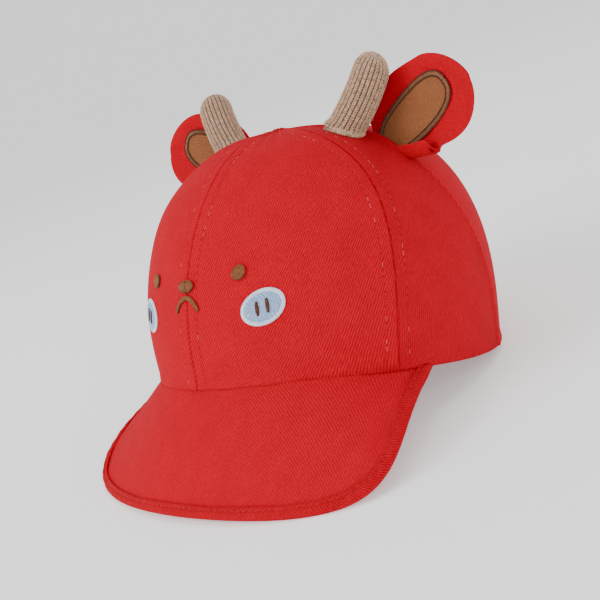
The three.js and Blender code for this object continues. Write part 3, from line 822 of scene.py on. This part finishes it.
# Ear patches: egg-shaped pieces of brown cloth sewn into the ears' cups, with a brown satin edge
# between two fine rows of dark thread.
patch_centre, patch_aside, patch_turn = 0.4, -2.3, 17.3
patch_length, patch_width, patch_egg, patch_bluntness = 42.0, 19.4, 0.06, 2.5
patch_base, patch_puff = 0.5, 0.2
satin_outer, satin_inner, satin_count = -0.35, 1.3, 230
brown_cloth = twill("brown patch cloth", (0.34, 0.135, 0.055), (0.19, 0.065, 0.025), 70, 0.75, 0.45)
brown_shader = brown_cloth.node_tree.nodes["Principled BSDF"]
brown_shader.inputs["Sheen Tint"].default_value = (1, 0.8, 0.6, 1)
border_thread = thread("dark brown satin thread", (0.085, 0.03, 0.014), (0.03, 0.01, 0.005))
band_thread = thread("mid brown satin thread", (0.25, 0.1, 0.042), (0.12, 0.045, 0.018))


def patch_place(lengthways, sideways):
    """The ear's along and aside for a place given in millimetres from the patch's middle."""
    turn = math.radians(patch_turn)
    along = patch_centre + (lengthways * math.cos(turn) - sideways * math.sin(turn)) / ear_length
    return along, patch_aside + lengthways * math.sin(turn) + sideways * math.cos(turn)


def patch_edge(round_share, inset=0.0):
    """The same for the patch's outline, pulled in by a length."""
    angle = round_share * 2 * math.pi
    far, wide = np.cos(angle), np.sin(angle)
    blunt = np.abs(far) ** patch_bluntness + np.abs(wide) ** patch_bluntness
    blunt = blunt ** (-1 / patch_bluntness)
    half = (patch_width / 2 - inset) * wide * blunt * (1 + patch_egg * far)
    return patch_place((patch_length / 2 - inset) * far * blunt, half)


for side, sign in (("left", 1), ("right", -1)):
    def patch_shape(across, along):
        share = 0.995 * np.sin((2 * along - 1) * math.pi / 2)
        narrowing = (1 - np.abs(share) ** patch_bluntness) ** (1 / patch_bluntness)
        half = patch_width / 2 * narrowing * (1 + patch_egg * share)
        lengthways, sideways = share * patch_length / 2, (2 * across - 1) * half
        puff = patch_puff * (1 - share**2) * (1 - (2 * across - 1) ** 2)
        points = ear_point(sign, *patch_place(lengthways, sideways), patch_base + puff)
        return points, np.stack([sideways * sign, lengthways], -1), ear_front

    patch = new_grid(f"ear_patch_cloth_{side}", 40, 60)
    place_grid(patch, patch_shape, patch_base)
    patch.data.materials.append(brown_cloth)
    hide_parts(f"ear_patch_{side}")
    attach(patch, "root")
    rounds = np.linspace(0, 1, satin_count, endpoint=False)
    outer = ear_point(sign, *patch_edge(rounds, satin_outer), 0.35)
    inner = ear_point(sign, *patch_edge(rounds + 0.0015, satin_inner), patch_base + 0.25)
    band_middle = patch_edge(rounds, 0.5)
    facing = ear_point(sign, *band_middle, 2.0) - ear_point(sign, *band_middle, 0.5)
    sew(f"patch_satin_edge_{side}", outer, inner, facing, 0.52, 0.5, band_thread, "brown_thread")
    for row, inset, out in (("outer", -0.45, 0.5), ("inner", 1.5, patch_base + 0.35)):
        line = ear_point(sign, *patch_edge(np.append(rounds, 1.0), inset), out)
        ahead = np.repeat(ear_front[None], satin_count, 0)
        sew(f"patch_{row}_row_{side}", line[:-1], line[1:], ahead, 0.55, 0.5, border_thread,
            "brown_thread")

# Embroidered face: eyes, cheeks, nose and mouth in satin and fill stitches over thin pads of
# thread, worked through the front panels.
brown_satin = thread("brown satin thread", (0.27, 0.095, 0.03), (0.12, 0.04, 0.013), 0.38)
dark_satin = thread("dark satin thread", (0.13, 0.045, 0.02), (0.06, 0.02, 0.01), 0.38)
blue_fill = thread("pale blue fill thread", (0.42, 0.56, 0.78), (0.27, 0.4, 0.62), 0.45)
white_satin = thread("pale satin edge thread", (0.74, 0.8, 0.88), (0.52, 0.62, 0.76), 0.4)


def on_cloth(turn, climb):
    """Millimetres aside and up on the cloth round a place of the face."""
    step = 0.5
    here, there = np.array([turn]), np.array([climb])
    wide = np.linalg.norm(dome(here + step, there) - dome(here - step, there))
    tall = np.linalg.norm(dome(here, there + step) - dome(here, there - step))

    def at(x, y, out=0.0):
        x, y = np.broadcast_arrays(np.asarray(x, float), np.asarray(y, float))
        return cloth(turn + x / wide, climb + y / tall, out)

    return at


def pad(name, node, at, half_width, half_height, material, high=0.75):
    bpy.ops.object.select_all(action="DESELECT")
    bpy.ops.mesh.primitive_uv_sphere_add(segments=32, ring_count=12, radius=1)
    piece = bpy.context.object
    piece.name = name
    ball = np.array([vertex.co[:] for vertex in piece.data.vertices])
    points = at(ball[:, 0] * half_width, ball[:, 1] * half_height, 0.25 + high / 2 * ball[:, 2])
    piece.data.vertices.foreach_set("co", settle(points).ravel())
    piece.data.shade_smooth()
    piece.data.materials.append(material)
    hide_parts(node)
    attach(piece, "root")


def satin(name, at, half_width, half_height, slant, material, slot, out, pitch=0.4, width=0.5):
    """Long stitches side by side across an oval."""
    across = np.arange(-half_width + pitch / 2, half_width, pitch)
    reach = half_height * np.sqrt(np.clip(1 - (across / half_width) ** 2, 0.04, 1))
    starts = at(across - slant * reach, -reach, out * 0.55)
    ends = at(across + slant * reach, reach, out * 0.55)
    facing = at(across, 0 * across, 2.0) - at(across, 0 * across, 0.0)
    lift = unit(facing) * out * 0.5
    sew(name, starts + lift, ends + lift, facing, width, 0.75, material, slot)


eye = {"turn": 21.5, "climb": 29.4, "half_width": 2.9, "half_height": 3.1}
cheek = {"turn": 28.0, "climb": 19.5, "half_width": 9.2, "half_height": 6.9}
cheek_edge, cheek_edge_stitches = 1.7, 118
fill_length, fill_pitch, fill_row, fill_step = 1.5, 1.65, 0.5, 0.55
pad_share = 0.92
for side, sign in (("left", 1), ("right", -1)):
    at = on_cloth(sign * eye["turn"], eye["climb"])
    wide, tall = eye["half_width"], eye["half_height"]
    pad(f"eye_pad_{side}", f"eye_{side}", at, wide * pad_share, tall * pad_share,
        dark_satin)
    satin(f"eye_satin_{side}", at, wide, tall, 0.12, brown_satin, "brown_thread", 0.8)

    at = on_cloth(sign * cheek["turn"], cheek["climb"])
    wide, tall = cheek["half_width"], cheek["half_height"]
    pad(f"cheek_pad_{side}", f"cheek_{side}", at, wide - 0.4, tall - 0.4,
        blue_fill, 0.6)
    inner_wide, inner_tall = wide - cheek_edge, tall - cheek_edge
    starts, ends = [], []
    for number, y in enumerate(np.arange(-inner_tall, inner_tall, fill_row)):
        half = inner_wide * math.sqrt(max(1 - (y / (inner_tall + 0.3)) ** 2, 0))
        for x in np.arange(-half + (number % 3) * fill_step, half - 0.4, fill_pitch):
            starts.append((x, y))
            ends.append((min(x + fill_length, half), y + 0.1))
    starts, ends = np.array(starts).T, np.array(ends).T
    facing = at(*starts, 2.0) - at(*starts)
    sew(f"cheek_fill_{side}", at(*starts, 0.55), at(*ends, 0.55), facing,
        0.56, 0.55, blue_fill, "pale_thread")
    rounds = np.linspace(0, 2 * math.pi, cheek_edge_stitches, endpoint=False)
    outer = at(wide * np.cos(rounds), tall * np.sin(rounds), 0.2)
    inner = at(inner_wide * np.cos(rounds + 0.02), inner_tall * np.sin(rounds + 0.02), 0.62)
    facing = at(wide * np.cos(rounds), tall * np.sin(rounds), 2.0) - outer
    sew(f"cheek_satin_edge_{side}", outer, inner, facing, 0.56, 0.7, white_satin, "pale_thread")
    for number, middle in enumerate((-2.1, 2.1)):
        y = np.arange(-2.6, 2.7, 0.36)
        half = 0.85 * np.sqrt(np.clip(1 - (y / 3.1) ** 2, 0.1, 1))
        starts, ends = at(middle - half, y - 0.1, 0.95), at(middle + half, y + 0.1, 0.95)
        facing = at(middle, y, 2.0) - at(middle, y)
        sew(f"cheek_stroke_{number + 1}_{side}", starts, ends, facing, 0.46, 0.6,
            dark_satin, "brown_thread")

nose = {"climb": 28.8, "half_width": 4.0, "half_height": 2.7}
at = on_cloth(0.0, nose["climb"])
wide, tall = nose["half_width"], nose["half_height"]
pad("nose_pad", "nose", at, wide * pad_share, tall * pad_share, dark_satin, 0.9)
satin("nose_satin", at, wide, tall, 0.1, brown_satin, "brown_thread", 0.9)
mouth = {"climb": 26.0, "half_width": 6.0, "drop": 5.0, "bow": 1.4, "thread": 1.8}
at = on_cloth(0.0, mouth["climb"])


def mouth_line(across):
    away = np.abs(across)
    rise = mouth["bow"] * np.sin(math.pi * away) - mouth["drop"] * away
    return across * mouth["half_width"], rise


def mouth_shape(across, along):
    x, y = mouth_line(2 * across - 1)
    points = at(x, y + (along - 0.5) * (mouth["thread"] - 0.7), 0.35)
    return points, np.stack([x, y], -1), np.array([0, -1.0, 0])


mouth_pad = new_grid("mouth_pad", 40, 3)
place_grid(mouth_pad, mouth_shape, 0.3)
mouth_pad.data.materials.append(dark_satin)
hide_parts("mouth")
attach(mouth_pad, "root")
across = np.linspace(-1, 1, 46)
x, y = mouth_line(across)
slant = 0.45 * np.sign(across)
starts = at(x - slant, y - mouth["thread"] / 2, 0.3)
ends = at(x + slant, y + mouth["thread"] / 2, 0.3)
facing = at(x, y, 2.0) - at(x, y)
lift = unit(facing) * 0.3
sew("mouth_satin", starts + lift, ends + lift, facing, 0.5, 0.75, brown_satin, "brown_thread")

# Floor, light and camera: a plain pale studio. The camera stands where the photograph was taken
# from, 0.46 m from the cap, 42 degrees to its left and a little above its rim.
floor_flat, floor_reach, floor_rise = 1.4, 3.4, 2.2
bpy.ops.object.select_all(action="DESELECT")
bpy.ops.mesh.primitive_grid_add(x_subdivisions=90, y_subdivisions=90, size=2 * floor_reach)
floor = bpy.context.object
floor.name = "floor"
for vertex in floor.data.vertices:
    away = max(math.hypot(vertex.co.x, vertex.co.y) - floor_flat, 0) / (floor_reach - floor_flat)
    vertex.co.z = floor_rise * min(away, 1.4) ** 2.2
floor.data.shade_smooth()
paper = bpy.data.materials.new("pale paper")
paper.use_nodes = True
paper_shader = paper.node_tree.nodes["Principled BSDF"]
paper_shader.inputs["Base Color"].default_value = (0.93, 0.93, 0.93, 1)
paper_shader.inputs["Roughness"].default_value = 0.9
paper_shader.inputs["Emission Color"].default_value = (1, 1, 1, 1)
paper_shader.inputs["Emission Strength"].default_value = 0.35
floor.data.materials.append(paper)

view_turn, view_rise, view_roll, view_distance = 41.95, 8.17, 9.28, 463.5
optical_axis = (333.16, 352.41)
picture = 600
turn, rise, roll = (math.radians(angle) for angle in (view_turn, view_rise, view_roll))
right = np.array([math.cos(turn), math.sin(turn), 0])
level_back = np.array([math.sin(turn), -math.cos(turn), 0])
back = level_back * math.cos(rise) + np.array([0, 0, math.sin(rise)])
up = np.cross(back, right)
image_right = right * math.cos(roll) - up * math.sin(roll)
image_up = right * math.sin(roll) + up * math.cos(roll)
origin = tip_back(np.zeros(3))
axes = [tip_back(way * 1000) - origin for way in (image_right, image_up, back)]
camera_data = bpy.data.cameras.new("camera")
camera_data.lens = 62.2
camera_data.sensor_width = 36
camera_data.shift_x = (picture / 2 - optical_axis[0]) / picture
camera_data.shift_y = (optical_axis[1] - picture / 2) / picture
camera = bpy.data.objects.new("camera", camera_data)
bpy.context.collection.objects.link(camera)
matrix = np.eye(4)
matrix[:3, 0], matrix[:3, 1], matrix[:3, 2] = axes
matrix[:3, 3] = tip_back(back * view_distance)
camera.matrix_world = Matrix(matrix.tolist())
bpy.context.scene.camera = camera


cap_middle = np.array([0, 0, 0.07])


def lamp(name, place, size, power):
    light = bpy.data.lights.new(name, "AREA")
    light.size = size
    light.energy = power
    holder = bpy.data.objects.new(name, light)
    bpy.context.collection.objects.link(holder)
    way = cap_middle - place
    yaw = math.atan2(way[0], -way[1])
    pitch = math.atan2(math.hypot(way[0], way[1]), -way[2])
    holder.location = place
    holder.rotation_euler = (pitch, 0, yaw + math.pi)


lamp("key", np.array([-0.55, -0.95, 0.75]), 0.7, 10)
lamp("fill", np.array([1.1, -0.6, 0.6]), 1.0, 5)
lamp("top", np.array([0.1, 0.3, 1.3]), 1.0, 6)
world = bpy.data.worlds.new("studio")
world.use_nodes = True
world.node_tree.nodes["Background"].inputs["Color"].default_value = (1, 1, 1, 1)
world.node_tree.nodes["Background"].inputs["Strength"].default_value = 0.5
bpy.context.scene.world = world
